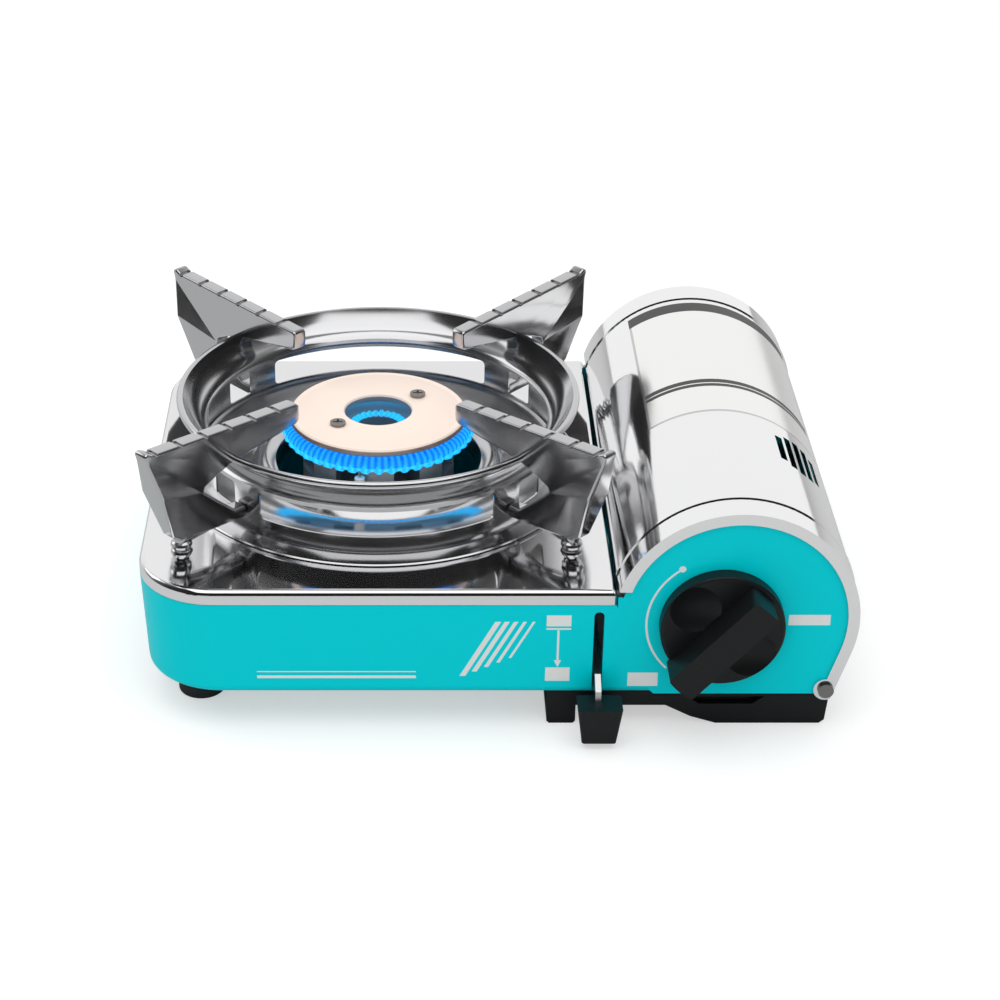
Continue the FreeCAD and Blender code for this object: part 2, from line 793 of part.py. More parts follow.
def build_burner():
    under = cap_top - cap_t
    cap = rod_z(burner_x, 0, cap_r, under, cap_top)
    cap = cap.makeFillet(cap_edge_r, [e for e in cap.Edges if e.BoundBox.ZMin > cap_top - touch])
    cap = cap.cut(rod_z(burner_x, 0, cap_hole_r, under - 1, cap_top + 1))
    ring_low = under - port_ring_h
    ring = rod_z(burner_x, 0, port_ring_r, ring_low, under)
    ring = ring.cut(rod_z(burner_x, 0, cap_hole_r + 2, ring_low - 1, under + 1))
    ports = []
    for i in range(port_count):
        groove = box(port_ring_r - port_depth, port_ring_r + past, -port_w / 2, port_w / 2,
                     under - port_top - port_h, under - port_top)
        groove.rotate(V(0, 0, 0), V(0, 0, 1), 360 * i / port_count)
        groove.translate(V(burner_x, 0, 0))
        ports.append(groove)
    ring = ring.cut(Part.makeCompound(ports))
    base = rod_z(burner_x, 0, base_r, base_bottom, ring_low)
    base = base.cut(rod_z(burner_x, 0, cap_hole_r - 1, base_bottom + base_wall, ring_low + past))
    windows = []
    window_top = ring_low - window_drop
    for i in range(window_count):
        w = box(cap_hole_r - past, base_r + past, -window_w / 2, window_w / 2, window_top - window_h, window_top)
        w.rotate(V(0, 0, 0), V(0, 0, 1), 360 * (i + 0.5) / window_count)
        w.translate(V(burner_x, 0, 0))
        windows.append(w)
    base = base.cut(fuse(windows))
    screws = []
    long = cap_screw_slot_l / 2
    short = cap_screw_slot_w / 2
    slot_z = cap_top + cap_screw_h - cap_screw_slot_d
    for s in (1, -1):
        x = burner_x + s * cap_screw_x
        y = s * cap_screw_y
        head = rod_z(x, y, cap_screw_r, cap_top, cap_top + cap_screw_h)
        for along, across in ((long, short), (short, long)):
            head = head.cut(box(x - along, x + along, y - across, y + across, slot_z, far))
        screws.append(head)
    return cap, ring, base, Part.makeCompound(screws)


def build_knob():
    back = knob_back
    disc = rod_y(knob_x, knob_z, knob_r, back - knob_disc, back)
    disc = disc.makeFillet(knob_edge_r, [e for e in disc.Edges if e.BoundBox.YMax < back - knob_disc + touch])
    reach = knob_r + grip_over
    bar = box(knob_x - grip_w / 2, knob_x + grip_w / 2, back - knob_height, back - knob_disc + 1,
              knob_z - knob_r + 2, knob_z + reach)
    bar = bar.makeFillet(grip_edge_r, [e for e in bar.Edges if e.BoundBox.YLength > knob_height - knob_disc])
    hull = rod_y(knob_x, knob_z, reach, back - knob_height - 1, back)
    bar = bar.common(hull)
    bar.rotate(V(knob_x, 0, knob_z), V(0, -1, 0), grip_deg - 90)
    knob = fuse([disc, bar])
    a = math.radians(grip_deg)
    for side in (1, -1):
        centre = V(knob_x - side * scoop_out * math.sin(a), back - knob_disc - scoop_r + scoop_depth,
                   knob_z + side * scoop_out * math.cos(a))
        dish = Part.makeSphere(scoop_r, centre).cut(bar)
        knob = knob.cut(dish)
    spindle_front = back - spindle_grip
    knob = knob.cut(rod_y(knob_x, knob_z, spindle_r, spindle_front, back + 1))
    spindle = rod_y(knob_x, knob_z, spindle_r, spindle_front, valve_front + spindle_seat)
    return knob, spindle


def build_lever():
    x0 = lever_x - lever_t / 2
    x1 = lever_x + lever_t / 2
    mid_z = lever_slot_low + lever_lift + lever_h / 2
    hh = lever_h / 2
    front = -half - lever_shoulder
    blade = [(pivot_y + 4, pivot_z - 3), (pivot_y + 5, pivot_z + 4), (pivot_y + 3, pivot_z + crank_r + 3.5),
             (pivot_y - 6.5, pivot_z + crank_r + 3.5), (pivot_y - 8, pivot_z + 5), (front, mid_z + hh),
             (tip_back_y - 4, mid_z + hh - 4), (tip_back_y - 6, tip_top_z - 6), (tip_back_y - 2, tip_top_z - 6),
             (tip_back_y + 1, mid_z - hh), (pivot_y - 5, pivot_z - 5)]
    plate = prism_x(blade, x0, x1)
    plate = plate.cut(rod_x(pivot_y, pivot_z, pivot_pin_r + pin_gap, x0 - 1, x1 + 1))
    half_turn = math.radians(lever_turn / 2)
    pin_y = pivot_y - crank_r * math.sin(half_turn)
    pin_z = pivot_z + crank_r * math.cos(half_turn)
    cross = rod_x(pin_y, pin_z, crank_pin_r, x1, link_x + cross_over)
    rings = []
    for z, w, front in ((tip_low_z, tip_low_w, tip_front_y + 1.5), (tip_top_z, tip_top_w, tip_front_y)):
        back = tip_back_y + (1.0 if z == tip_low_z else 0.0)
        left = lever_x + tip_shift - w / 2
        corners = [V(left, front, z), V(left + w, front, z), V(left + w, back, z), V(left, back, z)]
        rings.append(Part.makePolygon(corners + [corners[0]]))
    tip = Part.makeLoft(rings, True, True)
    tip = tip.makeFillet(tip_edge_r, [e for e in tip.Edges if e.BoundBox.ZLength > past])
    tip = tip.cut(plate)
    return plate, cross, tip


def build_carriage():
    r_in = can_r + can_gap
    r_out = r_in + carriage_t
    y0 = carriage_front
    y1 = can_back + carriage_over
    trough = rod_y(bay_x, can_z, r_out, y0, y1 + carriage_t).cut(rod_y(bay_x, can_z, r_in, y0 - past, y1))
    spread = can_z * math.tan(math.radians(carriage_deg))
    sector = prism_y([(bay_x, can_z), (bay_x - spread, 0), (bay_x + spread, 0)], y0 - past, far)
    trough = trough.common(sector)
    floor_z = case_bottom + case_t
    runners = []
    for s in (-1, 1):
        x = bay_x + s * runner_x
        runner = box(x - runner_w / 2, x + runner_w / 2, y0 + runner_inset, y1 - runner_inset,
                     floor_z + runner_gap, can_z - r_in - runner_gap)
        runners.append(runner.cut(rod_y(bay_x, can_z, r_in + carriage_t / 2, y0 - past, far)))
    carriage = fuse([trough] + runners)
    half_turn = math.radians(lever_turn / 2)
    pin_y = pivot_y - crank_r * math.sin(half_turn)
    pin_z = pivot_z + crank_r * math.cos(half_turn)
    link_z = floor_z + link_gap
    front = pin_y - link_half_w
    back = pin_y + link_half_w
    strap = box(link_x, bay_x - strap_end, front, back, link_z, link_z + strap_t)
    strap = strap.cut(carriage)
    ear = box(link_x, link_x + link_t, front, back, link_z, pin_z + link_half_w - strap_t)
    w = crank_pin_r + crank_gap
    rise = crank_r * (1 - math.cos(half_turn)) + link_gap
    left = link_x - past
    right = link_x + link_t + past
    slot = fuse([box(left, right, pin_y - w, pin_y + w, pin_z, pin_z + rise),
                 rod_x(pin_y, pin_z, w, left, right), rod_x(pin_y, pin_z + rise, w, left, right)])
    link = fuse([strap, ear.cut(slot)])
    return carriage, link


def build_valve():
    bore = neck_r + can_gap
    body = rod_y(bay_x, can_z, valve_r, valve_front, valve_face)
    wing = rod_y(bay_x + regulator_dx, can_z + regulator_dz, regulator_r, valve_front, valve_face - 2)
    outlet = box(bay_x - valve_r - outlet_x, bay_x, valve_front, valve_front + outlet_y,
                 pipe_z - outlet_h / 2, pipe_z + outlet_h / 2)
    body = fuse([body, wing, outlet])
    body = body.cut(rod_y(bay_x, can_z, bore, valve_face - neck_len, valve_face + 1))
    spindle_end = valve_front + spindle_seat + spindle_end_gap
    body = body.cut(rod_y(knob_x, knob_z, spindle_r + pin_gap, valve_front - past, spindle_end))
    cap = rod_y(bay_x + regulator_dx, can_z + regulator_dz, regulator_r - 1, valve_face - 2, valve_face)
    cap = cap.cut(rod_y(bay_x, can_z, valve_r, valve_face - 3, valve_face + 1))
    seat_from = valve_face - neck_len
    seat_to = seat_from + seat_h
    seat = rod_y(bay_x, can_z, seat_r, seat_from, seat_to)
    seat = seat.cut(rod_y(bay_x, can_z, seat_bore_r, seat_from - past, valve_face))
    gasket = rod_y(bay_x, can_z, gasket_r, seat_to, seat_to + gasket_h)
    gasket = gasket.cut(rod_y(bay_x, can_z, gasket_bore_r, seat_from, valve_face))
    guide = rod_y(bay_x, can_z, valve_r + guide_over, valve_face, valve_face + guide_t)
    guide = guide.cut(rod_y(bay_x, can_z, bore, valve_face - 1, valve_face + 1))
    return body, cap, seat, gasket, guide


def build_gas_way():
    a = math.radians(venturi_deg)
    d = V(math.cos(a), math.sin(a), 0)
    start = V(burner_x, 0, venturi_z) + d * (base_r - 1.0)
    wall = bore_out_r - bore_in_r
    tube_out = Part.makeCone(bell_out_r, bore_out_r, bell_len, start, d).fuse(
        Part.makeCylinder(bore_out_r, venturi_len - base_r - bell_len + 1.0, start + d * bell_len, d))
    tube_in = Part.makeCone(bell_out_r - wall, bore_in_r, bell_len + 0.1, start - d * 0.1, d).fuse(
        Part.makeCylinder(bore_in_r, venturi_len, start + d * bell_len, d))
    mouth_at = V(burner_x, 0, venturi_z) + d * venturi_len
    mouth = Part.makeCone(bore_out_r, bell_out_r, mouth_len, mouth_at, d)
    mouth = mouth.cut(Part.makeCone(bore_in_r, bell_out_r - wall, mouth_len, mouth_at, d))
    mixing = tube_out.fuse(mouth).cut(tube_in).removeSplitter()
    mixing = mixing.cut(rod_z(burner_x, 0, base_r, 0, far))
    jet_at = mouth_at + d * jet_cone
    jet = Part.makeCone(jet_tip_r, jet_r, jet_cone, jet_at, d)
    jet = jet.fuse(Part.makeCylinder(jet_r, jet_len, jet_at + d * jet_cone, d))
    jet = jet.cut(Part.makeCylinder(jet_bore_r, far, jet_at - d, d)).removeSplitter()
    pipe_from = jet_at + d * (jet_cone + jet_len)
    rise_at = pipe_from + d * pipe_lead
    out_x = bay_x - valve_r - outlet_x
    points = [pipe_from, rise_at, V(rise_at.x, pipe_y + pipe_step, pipe_z),
              V(rise_at.x + pipe_run, pipe_y, pipe_z), V(out_x, pipe_y, pipe_z)]
    pipe = tube(points, pipe_r, pipe_bend)
    floor_z = case_bottom + case_t
    left = -stay_t / 2
    side = stay_w / 2
    upright = box(left, -left, -side, side, floor_z, venturi_z + stay_over)
    stay = fuse([upright, box(left, stay_foot, -side, side, floor_z, floor_z + stay_t)])
    stay = stay.cut(rod_x(0, venturi_z, jet_r, -stay_foot, stay_foot))
    stay.rotate(V(0, 0, 0), V(0, 0, 1), venturi_deg)
    stay.translate(jet_at + d * 2 * jet_cone - V(0, 0, venturi_z))
    return mixing, jet, pipe, stay


def build_ignition():
    x0 = plate_right + igniter_x
    z0 = case_bottom + case_t
    body = box(x0, x0 + igniter_w, igniter_front, igniter_back, z0, z0 + igniter_h)
    body = body.makeFillet(igniter_edge_r, [e for e in body.Edges if e.BoundBox.YLength > igniter_h])
    lead_x = x0 + igniter_w / 2
    nose_y = igniter_back + nose_len
    igniter = fuse([body, rod_y(lead_x, lead_z, nose_r, igniter_back, nose_y)])
    at = polar(electrode_r, electrode_deg, 0)
    ceramic = rod_z(at.x, at.y, ceramic_r, electrode_low, electrode_top)
    needle = rod_z(at.x, at.y, needle_r, electrode_top, electrode_top + needle_len)
    stay_z = electrode_low + electrode_stay_up
    stay_top = stay_z + electrode_stay_h
    side = electrode_stay_w / 2
    arm = box(at.x - side, at.x + side, at.y + side, -base_r + base_wall, stay_z, stay_top)
    stay = fuse([rod_z(at.x, at.y, electrode_stay_r, stay_z, stay_top), arm])
    stay = stay.cut(rod_z(burner_x, 0, base_r, 0, far)).cut(rod_z(at.x, at.y, ceramic_r, 0, far))
    dip_z = electrode_low - lead_dip
    points = [V(lead_x, nose_y, lead_z), V(lead_x, lead_y, lead_z), V(plate_right - lead_in, lead_y, lead_z),
              V(at.x + lead_side, at.y, dip_z), V(at.x, at.y, dip_z), V(at.x, at.y, electrode_low)]
    lead = tube(points, lead_r, lead_bend)
    return igniter, ceramic, needle, stay, lead


def build_base():
    y0 = base_front
    y1 = base_front + base_depth
    z = case_bottom
    ledge = block_left + ledge_w
    bevel = 1.0
    belly = [(belly_left, belly_z), (belly_left + belly_run, 0), (base_right - 1.5 * bevel, 0),
             (base_right + 0.5 * bevel, 1.6 * bevel), (base_right + base_bulge, base_bulge_z),
             (base_right - base_top_in, z)]
    outline = [(block_left, z), (block_left, bevel), (block_left + bevel, 0), (ledge - bevel, 0),
               (ledge, bevel), (ledge, strip_z), (strip_right, strip_z)] + belly
    front = prism_y(outline, y0, y1)
    recess = [(recess_left, z - recess_top), (recess_right, z - recess_top),
              (recess_right - recess_slope, z - recess_low), (recess_left + recess_slope, z - recess_low)]
    front = front.cut(prism_y(recess, y0 - past, y0 + recess_depth))
    rear = prism_y([(belly_left - belly_back, z)] + belly, -y1, -y0)
    feet = []
    for s in (-1, 1):
        pad = rod_z(foot_x, s * foot_y, rubber_r, 0, case_bottom)
        feet.append(pad.makeFillet(rubber_edge_r, [e for e in pad.Edges if e.BoundBox.ZMax < touch]))
    return front, rear, Part.makeCompound(feet)


def build_lever_bracket():
    x0 = lever_x - lever_t / 2 - bracket_gap
    x1 = lever_x + lever_t / 2 + bracket_gap
    z0 = case_bottom + case_t
    y1 = pivot_y + bracket_back
    cheeks = []
    for left in (x0 - bracket_t, x1):
        cheeks.append(box(left, left + bracket_t, pivot_y - bracket_front, y1, z0, pivot_z + bracket_rise))
    foot = box(x0 - bracket_t, x1 + bracket_t, y1 - bracket_rise, y1, z0, z0 + bracket_t)
    pin = rod_x(pivot_y, pivot_z, pivot_pin_r, x0 - bracket_pin_over, x1 + bracket_pin_over)
    bracket = fuse(cheeks + [foot]).cut(rod_x(pivot_y, pivot_z, pivot_pin_r, x0 - far, x1 + far))
    return bracket, pin


def build_all():
    parts["lower_case"] = build_case()
    parts["top_plate"] = build_plate()
    parts["bay_partition"] = build_partition()
    parts["cartridge_cover"] = build_cover()
    screws, brackets = build_hinge()
    parts["hinge_screws"] = screws
    parts["hinge_brackets"] = brackets
    bowl = build_bowl()
    parts["bowl"] = bowl
    parts["drip_pan"] = build_pan()
    names = ("right_rear", "left_rear", "left_front", "right_front")
    for i, name in enumerate(names):
        arm = build_arm()
        arm.rotate(V(burner_x, 0, 0), V(0, 0, 1), 45 + 90 * i)
        parts["pan_arm_" + name] = arm.cut(bowl)
    cap, ring, base, cap_screws = build_burner()
    parts["burner_cap"] = cap
    parts["port_ring"] = ring
    parts["burner_base"] = base
    parts["cap_screws"] = cap_screws
    knob, spindle = build_knob()
    parts["knob"] = knob
    parts["knob_spindle"] = spindle
    blade, cross, tip = build_lever()
    parts["lock_lever"] = blade
    parts["lever_crank_pin"] = cross
    parts["lever_tip"] = tip
    bracket, pin = build_lever_bracket()
    parts["lever_bracket"] = bracket
    parts["lever_pivot_pin"] = pin
    carriage, link = build_carriage()
    parts["cartridge_carriage"] = carriage
    parts["carriage_link"] = link
    body, reg_cap, seat, gasket, guide = build_valve()
    parts["valve_body"] = body
    parts["regulator_cap"] = reg_cap
    parts["nozzle_seat"] = seat
    parts["nozzle_gasket"] = gasket
    parts["collar_guide"] = guide
    mixing, jet, pipe, stay = build_gas_way()
    parts["mixing_tube"] = mixing
    parts["gas_jet"] = jet
    parts["gas_pipe"] = pipe
    parts["jet_bracket"] = stay
    igniter, ceramic, needle, stay, lead = build_ignition()
    parts["piezo_igniter"] = igniter
    parts["electrode_insulator"] = ceramic
    parts["electrode_needle"] = needle
    parts["electrode_bracket"] = stay
    parts["igniter_lead"] = lead
    front, rear, feet = build_base()
    parts["front_base_block"] = front
    parts["rear_base_block"] = rear
    parts["rubber_feet"] = feet


build_all()
os.makedirs("parts", exist_ok=True)
for name, shape in parts.items():
    shape.translate(V(shift_x, shift_y, 0))
    print(name, shape.isValid(), len(shape.Solids), round(shape.Volume))
    shape.exportStep("parts/" + name + ".step")
print("shift", shift_x, shift_y)
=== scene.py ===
import json
import math
import random

import bmesh
import bpy
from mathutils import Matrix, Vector

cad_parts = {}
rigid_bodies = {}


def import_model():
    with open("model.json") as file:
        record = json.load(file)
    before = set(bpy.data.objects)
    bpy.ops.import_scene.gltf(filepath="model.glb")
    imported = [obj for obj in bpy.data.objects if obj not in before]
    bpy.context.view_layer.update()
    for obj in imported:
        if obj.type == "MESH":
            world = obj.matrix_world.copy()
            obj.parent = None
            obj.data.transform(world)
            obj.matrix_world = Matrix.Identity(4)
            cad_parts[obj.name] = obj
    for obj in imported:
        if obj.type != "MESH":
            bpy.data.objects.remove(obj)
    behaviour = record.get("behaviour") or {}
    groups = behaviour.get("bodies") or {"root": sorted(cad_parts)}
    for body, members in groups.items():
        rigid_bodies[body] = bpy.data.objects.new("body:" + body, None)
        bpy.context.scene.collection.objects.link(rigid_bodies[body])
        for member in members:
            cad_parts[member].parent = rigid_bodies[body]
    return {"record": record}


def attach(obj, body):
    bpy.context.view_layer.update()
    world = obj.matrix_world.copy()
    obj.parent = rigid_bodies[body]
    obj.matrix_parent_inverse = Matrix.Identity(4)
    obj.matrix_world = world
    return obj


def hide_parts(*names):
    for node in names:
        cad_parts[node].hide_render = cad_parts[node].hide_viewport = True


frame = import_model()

random.seed(7)
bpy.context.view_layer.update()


# Camera: stands in front and above, level, a little to the left of the stove's middle.
# Place, tilt and lens come from the lines and circles of the photographed stove.
camera = bpy.data.objects.new("camera", bpy.data.cameras.new("camera"))
bpy.context.scene.collection.objects.link(camera)
camera_at = (-0.0335, -0.85375, 0.5179)
camera_tilt = math.radians(61.18)
lens_mm = 86.2
sensor_mm = 36
sideways_shift = 0.0934
nearest = 0.05
camera.location = camera_at
camera.rotation_euler = (camera_tilt, 0, 0)
camera.data.lens = lens_mm
camera.data.sensor_width = sensor_mm
camera.data.shift_x = sideways_shift
camera.data.clip_start = nearest
bpy.context.scene.camera = camera
bpy.context.scene.view_settings.view_transform = "Standard"


# Shader sums: a wired socket that takes Python's arithmetic.
# Every node comes from its one method called node, settings first and sockets after.
class Wire:
    def __init__(self, tree, output):
        self.tree = tree
        self.output = output

    def node(self, kind, settings, inputs, out=0):
        made = self.tree.nodes.new("ShaderNode" + kind)
        for key, value in settings.items():
            if key == "stops":
                ramp = made.color_ramp.elements
                ramp[0].position, ramp[0].color = value[0]
                ramp[1].position, ramp[1].color = value[-1]
                for place, colour in value[1:-1]:
                    ramp.new(place).color = colour
            else:
                setattr(made, key, value)
        for key, value in inputs.items():
            if isinstance(value, Wire):
                self.tree.links.new(value.output, made.inputs[key])
            else:
                made.inputs[key].default_value = value
        return Wire(self.tree, made.outputs[out])

    def sum(self, operation, first, second=0.0):
        return self.node("Math", {"operation": operation}, {0: first, 1: second})

    def __add__(self, other):
        return self.sum("ADD", self, other)

    def __sub__(self, other):
        return self.sum("SUBTRACT", self, other)

    def __rsub__(self, other):
        return self.sum("SUBTRACT", other, self)

    def __mul__(self, other):
        return self.sum("MULTIPLY", self, other)

    def __gt__(self, other):
        return self.sum("GREATER_THAN", self, other)

    def __lt__(self, other):
        return self.sum("LESS_THAN", self, other)

    __radd__ = __add__
    __rmul__ = __mul__

    def within(self, low, high):
        return (self > low) * (self < high)

    def length(self, other):
        """How long a flat arrow is that goes this far one way and other the other way."""
        pair = self.node("CombineXYZ", {}, {0: self, 1: other})
        return self.node("VectorMath", {"operation": "LENGTH"}, {0: pair}, 1)

    def absolute(self):
        return self.sum("ABSOLUTE", self)

    def bearing(self, across):
        """The angle of a flat arrow that goes across one way and this far the other way."""
        return self.sum("ARCTAN2", self, across)

    def blend(self, low, high):
        return self.node("Mix", {"data_type": "RGBA"}, {0: self, 6: low, 7: high}, 2)

    def noise(self, scale, detail, stretch=(1, 1, 1)):
        place = self.node("Mapping", {}, {"Vector": self, "Scale": stretch})
        return self.node("TexNoise", {}, {"Vector": place, "Scale": scale, "Detail": detail})

    def split(self):
        made = self.node("SeparateXYZ", {}, {0: self}).output.node
        return [Wire(self.tree, one) for one in made.outputs]


def new_finish(name, colour, metallic, **sockets):
    """A new material, its shader, and a wire with the place on the piece in metres."""
    material = bpy.data.materials.new(name)
    material.use_nodes = True
    tree = material.node_tree
    shader = tree.nodes["Principled BSDF"]
    shader.inputs["Base Color"].default_value = (*colour, 1)
    shader.inputs["Metallic"].default_value = metallic
    for key, value in sockets.items():
        shader.inputs[key.replace("_", " ")].default_value = value
    coords = tree.nodes.new("ShaderNodeTexCoord")
    return material, shader, Wire(tree, coords.outputs["Object"])


def feed(shader, name, wire):
    wire.tree.links.new(wire.output, shader.inputs[name])


def emboss(shader, wire, depth, strength=1.0):
    bump = wire.node("Bump", {}, {"Height": wire, "Distance": depth, "Strength": strength})
    feed(shader, "Normal", bump)


# Floor and light: a plain white floor, two soft lamps, and a pale world
# that is white behind the stove and darker in front, as polished metal shows it.
def bare(kind, name, **settings):
    if bpy.context.mode != "OBJECT":
        bpy.ops.object.mode_set(mode="OBJECT")
    bpy.ops.object.select_all(action="DESELECT")
    getattr(bpy.ops.mesh, "primitive_" + kind + "_add")(**settings)
    piece = bpy.context.object
    piece.name = name
    bpy.ops.object.transform_apply(location=True, rotation=True, scale=True)
    return piece


floor_w = 6.0
paper_grey = (0.6, 0.6, 0.6)
paper_glow = (0.5, 0.5, 0.5, 1)
nothing = (0, 0, 0, 1)
floor = bare("plane", "floor", size=floor_w, location=(0, 0, 0))
floor_finish, shader, place = new_finish("floor_paper", paper_grey, 0.0, Roughness=0.9)
camera_ray = place.node("LightPath", {}, {})
feed(shader, "Emission Color", camera_ray.blend(nothing, paper_glow))
shader.inputs["Emission Strength"].default_value = 1.0
floor.data.materials.append(floor_finish)

world = bpy.context.scene.world or bpy.data.worlds.new("world")
bpy.context.scene.world = world
world.use_nodes = True
tree = world.node_tree
sky = tree.nodes["Background"]
coords = tree.nodes.new("ShaderNodeTexCoord")
along = Wire(tree, coords.outputs["Generated"]).split()[1]
camera_ray = along.node("LightPath", {}, {})
glossy_ray = Wire(tree, camera_ray.output.node.outputs["Is Glossy Ray"])
room_greys = ((0.0, 0.01), (0.38, 0.03), (0.55, 0.12), (0.70, 0.35), (0.86, 0.88), (1.0, 0.95))
room_stops = [(height, (grey, grey, grey, 1)) for height, grey in room_greys]
backdrop = along.node("ValToRGB", {"stops": room_stops}, {0: along * 0.5 + 0.5})
soft_fill = (0.7, 0.7, 0.7, 1)
white = (1, 1, 1, 1)
plain = glossy_ray.blend(soft_fill, backdrop)
tree.links.new(camera_ray.blend(plain, white).output, sky.inputs["Color"])

lamps = (("lamp_top", (0.0, -0.25, 1.1), (0, 0, 0), 1.2, 6.0),
         ("lamp_left", (-1.2, 0.5, 0.9), (0, 0, 0.05), 0.7, 2.0))
for name, stand, aim, width, power in lamps:
    lamp = bpy.data.objects.new(name, bpy.data.lights.new(name, "AREA"))
    bpy.context.scene.collection.objects.link(lamp)
    lamp.data.energy = power
    lamp.data.size = width
    lamp.location = stand
    lamp.rotation_euler = (Vector(aim) - Vector(stand)).to_track_quat("-Z", "Y").to_euler()


# Lower case: one deep-drawn steel tub with its round end panels, baked in gloss teal enamel
# with a fine orange peel, and printed in white on the front; it stays as the CAD has it.
frame_shift = 7.15


def spot(x, y, z):
    """A place in the maker's millimetres, taken from the middle of the case, in metres."""
    return Vector((x, y + frame_shift, z)) / 1000


front_y = spot(0, -100.2, 0).y
paint = (0.0, 0.72, 0.80)
white_ink = (0.86, 0.89, 0.88, 1)
teal, shader, place = new_finish("teal_enamel", paint, 0.0, Roughness=0.3, Coat_Weight=0.04,
                                 Coat_Roughness=0.08)
shader.inputs["Specular IOR Level"].default_value = 0.06
x, y, z = place.split()
on_front = y < front_y + 0.0002
# Plain blocks, each by its left, right, low and high edge: two tags and a line for the lever,
# one tag by the lever, one by the knob, and the arrow's shaft
blocks = ((0.0188, 0.0280, 0.0455, 0.0503), (0.0188, 0.0280, 0.0213, 0.0273),
          (0.0188, 0.0280, 0.0440, 0.0447), (0.0500, 0.0614, 0.0190, 0.0250),
          (0.1090, 0.1246, 0.0460, 0.0505), (0.0229, 0.0237, 0.0300, 0.0437))
plates = [x.within(left, right) * z.within(low, high) for left, right, low, high in blocks]
arrow_x, arrow_low, arrow_top, arrow_spread = 0.0233, 0.0275, 0.0305, 0.45
arrow_wide = (z - arrow_low) * arrow_spread
plates.append(z.within(arrow_low, arrow_top) * ((x - arrow_x).absolute() < arrow_wide))
# The knob's arc, with a dot at its upper end
knob_x, knob_z = 0.084, 0.047
arc_in, arc_out = 0.0276, 0.0284
arc_start, arc_end = -2.35, 2.16
dot_x, dot_z, dot_r = 0.0683, 0.0702, 0.0013
bearing = (z - knob_z).bearing(x - knob_x)
round_knob = (bearing > arc_end) + (bearing < arc_start)
plates.append((x - knob_x).length(z - knob_z).within(arc_in, arc_out) * round_knob)
plates.append((x - dot_x).length(z - dot_z) < dot_r)
# Five slanted strokes that get thinner and shorter, and a double line at the left
stroke_lean, stroke_left, stroke_step, stroke_top = 0.55, -0.0265, 0.0035, 0.0475
for step in range(5):
    slope = x - z * stroke_lean
    left = stroke_left + step * stroke_step
    wide = 0.0022 - step * 0.0003
    plates.append(slope.within(left, left + wide) * z.within(0.0235 + step * 0.002, stroke_top))
line_left, line_right = -0.0900, -0.0300
plates.append(x.within(line_left, line_right) * (z.within(0.0225, 0.0237) + z.within(0.0252, 0.0256)))
ink = plates[0]
for plate in plates[1:]:
    ink = ink.sum("MAXIMUM", ink, plate)
feed(shader, "Base Color", (ink * on_front).blend((*paint, 1), white_ink))
emboss(shader, place.noise(700.0, 2.0), 0.00002, 0.5)


# Plain mirror-polished stainless sheet, with fine wiping scratches and a little haze,
# and the zinc-plated sheet of the inner brackets.
fine_wipe = (1, 0.06, 1)
steel, shader, place = new_finish("mirror_steel", (0.66, 0.66, 0.67), 1.0, Roughness=0.06)
haze = place.noise(35.0, 4.0)
feed(shader, "Roughness", 0.05 + haze * haze * 0.1)
emboss(shader, place.noise(2200.0, 1.0, fine_wipe), 0.000004, 0.4)
zinc, shader, place = new_finish("zinc_sheet", (0.60, 0.61, 0.62), 1.0, Roughness=0.35)
feed(shader, "Roughness", 0.28 + place.noise(300.0, 4.0) * 0.2)


# Cartridge cover: the same sheet, wrapped over the bay and painted paler than the rest as a painted
# highlight for its bright reflection;
# a bare foil label lies over its top and right side, with a plain dark band at its head and one below.
# The cover's sheet colour is paler than the other steel: a painted highlight, not a different metal.
sheen_bright_sheet = (0.93, 0.93, 0.935)
foil_grey = (0.96, 0.96, 0.95, 1)
edge_grey = (0.60, 0.60, 0.60, 1)
band_ink = (0.05, 0.05, 0.05, 1)
cover_steel, shader, place = new_finish("cover_steel", sheen_bright_sheet, 1.0, Roughness=0.07)
bay = spot(89.5, 0, 47.7)
x, y, z = place.split()
lean = (x - bay.x).bearing(z - bay.z) * math.degrees(1)


def label_patch(around, front, back):
    return lean.within(*around) * y.within(spot(0, front, 0).y, spot(0, back, 0).y)


whole_around, inner_around = (-36, 62), (-34.6, 60.6)
foil = label_patch(whole_around, -17, 87)
inner = label_patch(inner_around, -15.4, 85.4)
header = label_patch(whole_around, 78.5, 87)
lower_band = label_patch(inner_around, 5.5, 12.0)
split_line = label_patch(inner_around, 8.0, 8.8)
ink = header.sum("MAXIMUM", header, lower_band - split_line)
edge = foil - inner
wipe = place.noise(28.0, 4.0)
bright = edge.blend(foil.blend((*sheen_bright_sheet, 1), foil_grey), edge_grey)
feed(shader, "Base Color", ink.blend(bright, band_ink))
feed(shader, "Roughness", 0.05 + wipe * wipe * 0.10 + foil * 0.12 + ink * 0.2)
feed(shader, "Metallic", 1.0 - ink * 0.7)
emboss(shader, place.noise(2200.0, 1.0, fine_wipe), 0.000004, 0.4)


# Top plate: one pressed sheet that falls a little towards the burner all round,
# so it mirrors the dark room in front of the bowl and the white backdrop at its corners.
burner_x = -44.9
centre = spot(burner_x, 0, 0)
plate_steel, shader, place = new_finish("plate_steel", (0.86, 0.86, 0.87), 1.0, Roughness=0.06)
x, y, z = place.split()
reach = (x - centre.x).length(y - centre.y)
flat_top = z > 0.0600
fall = 0.13
haze = place.noise(30.0, 4.0)
feed(shader, "Roughness", 0.05 + haze * haze * 0.09)
emboss(shader, reach * flat_top, fall)


# Shaping: a wire drawn point to point, spun about an upright axis, and finished by modifiers.
# Corners and faces are picked in edit mode by their place.
weld = 1e-6


def edit(piece):
    if bpy.context.mode != "OBJECT":
        bpy.ops.object.mode_set(mode="OBJECT")
    bpy.ops.object.select_all(action="DESELECT")
    piece.select_set(True)
    bpy.context.view_layer.objects.active = piece
    bpy.ops.object.mode_set(mode="EDIT")


